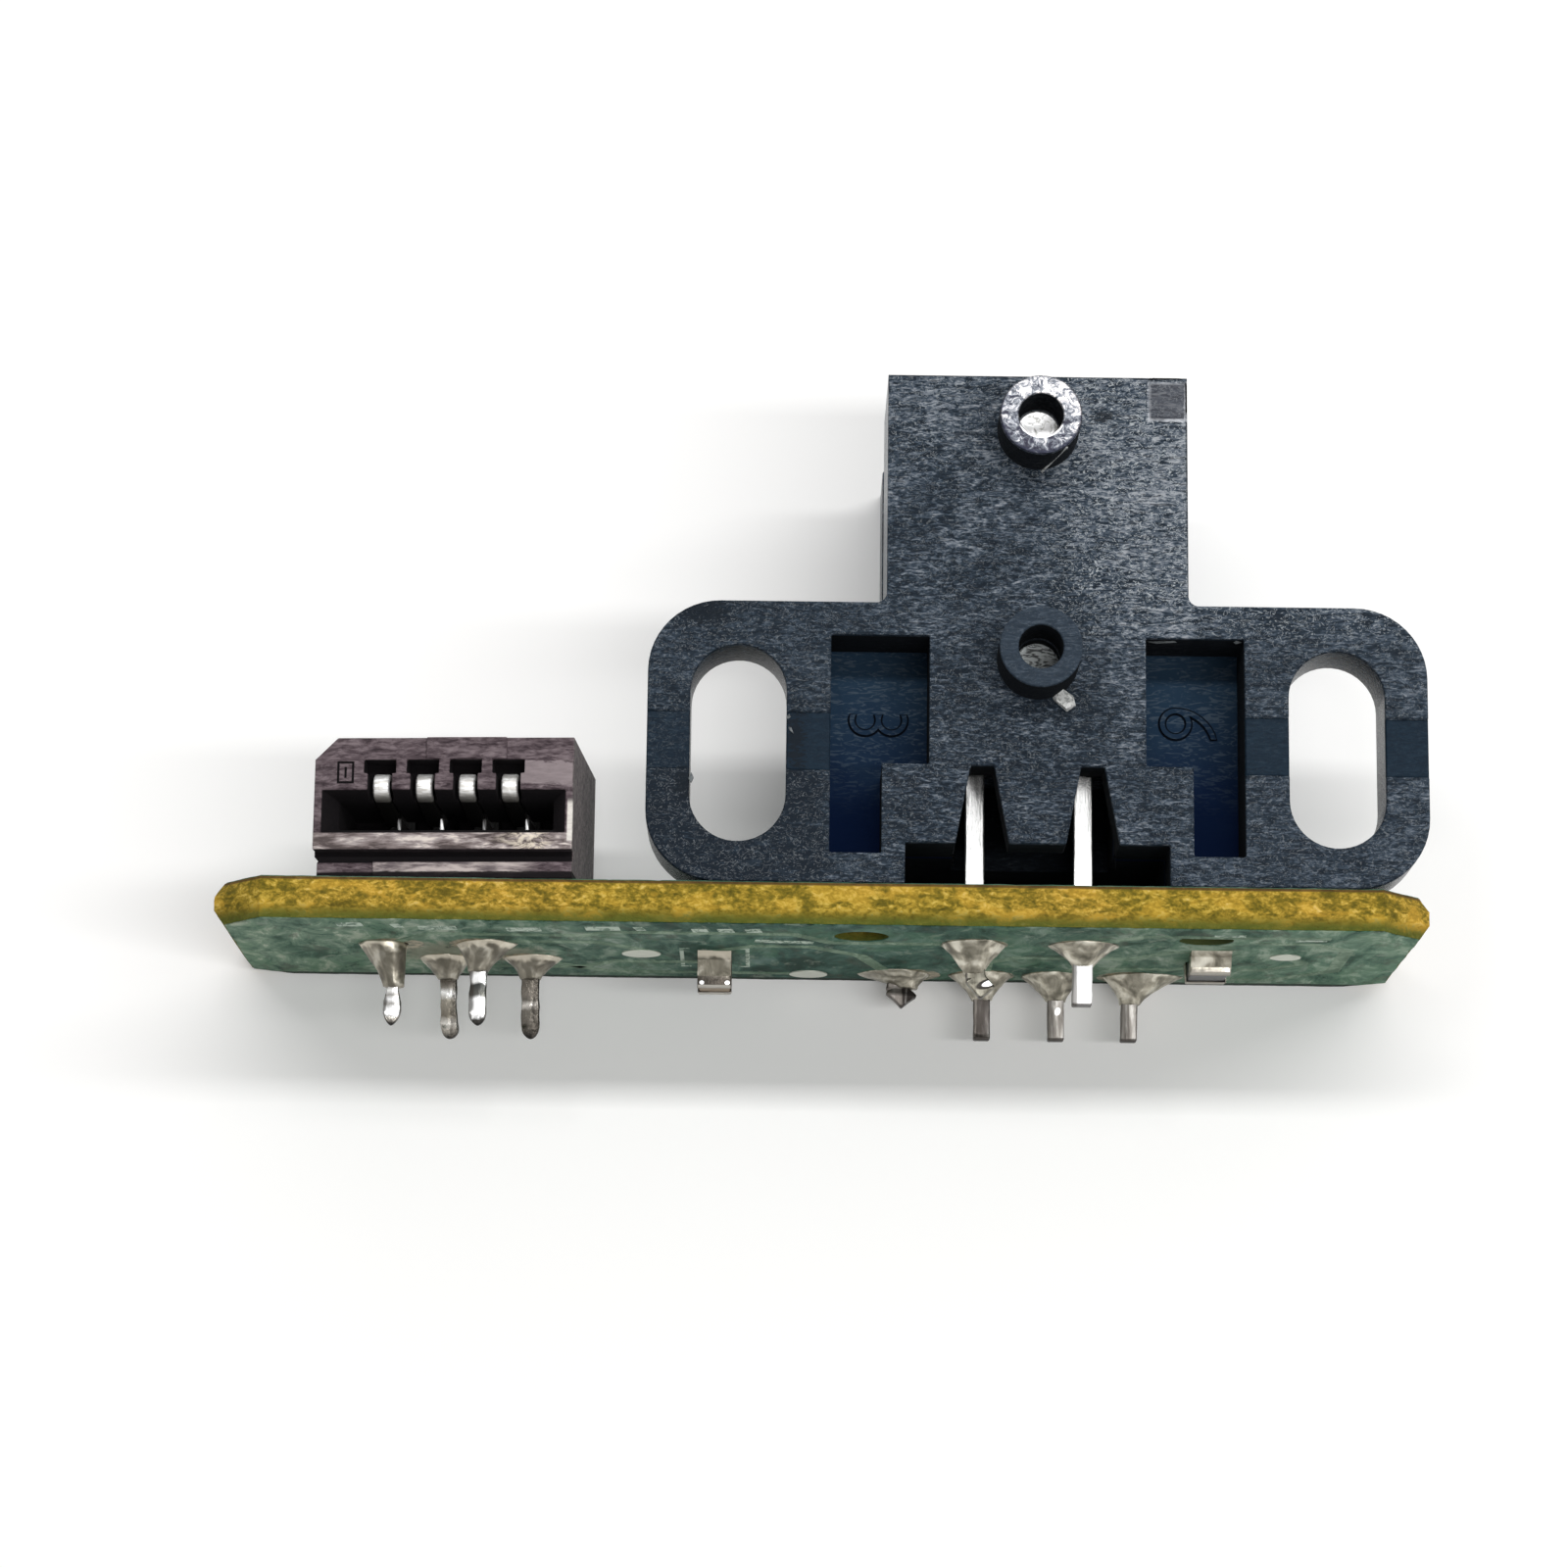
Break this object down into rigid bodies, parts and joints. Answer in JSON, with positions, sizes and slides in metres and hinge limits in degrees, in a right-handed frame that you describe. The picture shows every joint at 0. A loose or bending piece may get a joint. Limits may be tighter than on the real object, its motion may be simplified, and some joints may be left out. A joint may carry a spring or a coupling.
{
  "type": "encoder strip sensor",
  "caption": "Optical encoder strip sensor: slotted light-barrier body with two mounting ears and a side-entry flat-cable connector on a narrow circuit board.",
  "frame": {"origin": "on the mounting face of the sensor body, midway between the two ear slots", "axes": "+X along the board towards the sensor's end, +Y from the board up the tower, +Z out of the mounting face; the part lies on its back, on the far edge of the board"},
  "size_m": [0.0354, 0.019, 0.0111],
  "materials": {
    "laminate": "cut glass-fibre laminate, ochre and mottled",
    "solder_mask": "thin green lacquer, dulled and streaked",
    "copper": "bare copper, lightly tinned",
    "tinned_pad": "dull tin",
    "black_plastic": "glass-filled black resin with fine pale flecks",
    "brown_plastic": "aubergine brown resin, worn pale at the lip",
    "emitter_resin": "dark tinted clear resin",
    "detector_resin": "black moulding resin",
    "chip_silicon": "polished semiconductor",
    "tinned_lead": "bright tin, sheared edges",
    "tinned_contact": "bright tinned spring sheet",
    "tan_ceramic": "tan ceramic",
    "dark_ceramic": "dark glazed chip",
    "tinned_cap": "tinned end cap",
    "solder": "warm grey solder, softly shiny"
  },
  "bodies": {
    "root": {"circuit_board": "laminate", "solder_mask_top": "solder_mask", "solder_mask_underside": "solder_mask", "lead_pads": "copper", "test_pads": "tinned_pad", "chip_pads": "copper", "sensor_body": "black_plastic", "emitter_package": "emitter_resin", "emitter_die": "chip_silicon", "emitter_lead_1": "tinned_lead", "emitter_lead_2": "tinned_lead", "detector_package": "detector_resin", "detector_die": "chip_silicon", "detector_lead_1": "tinned_lead", "detector_lead_2": "tinned_lead", "detector_lead_3": "tinned_lead", "detector_lead_4": "tinned_lead", "connector_housing": "brown_plastic", "connector_contact_1": "tinned_contact", "connector_contact_2": "tinned_contact", "connector_contact_3": "tinned_contact", "connector_contact_4": "tinned_contact", "capacitor_body": "tan_ceramic", "capacitor_terminals": "tinned_cap", "resistor_body": "dark_ceramic", "resistor_terminals": "tinned_cap", "emitter_solder": "solder", "detector_solder": "solder", "connector_solder": "solder", "chip_solder": "solder"}
  },
  "joints": []
}
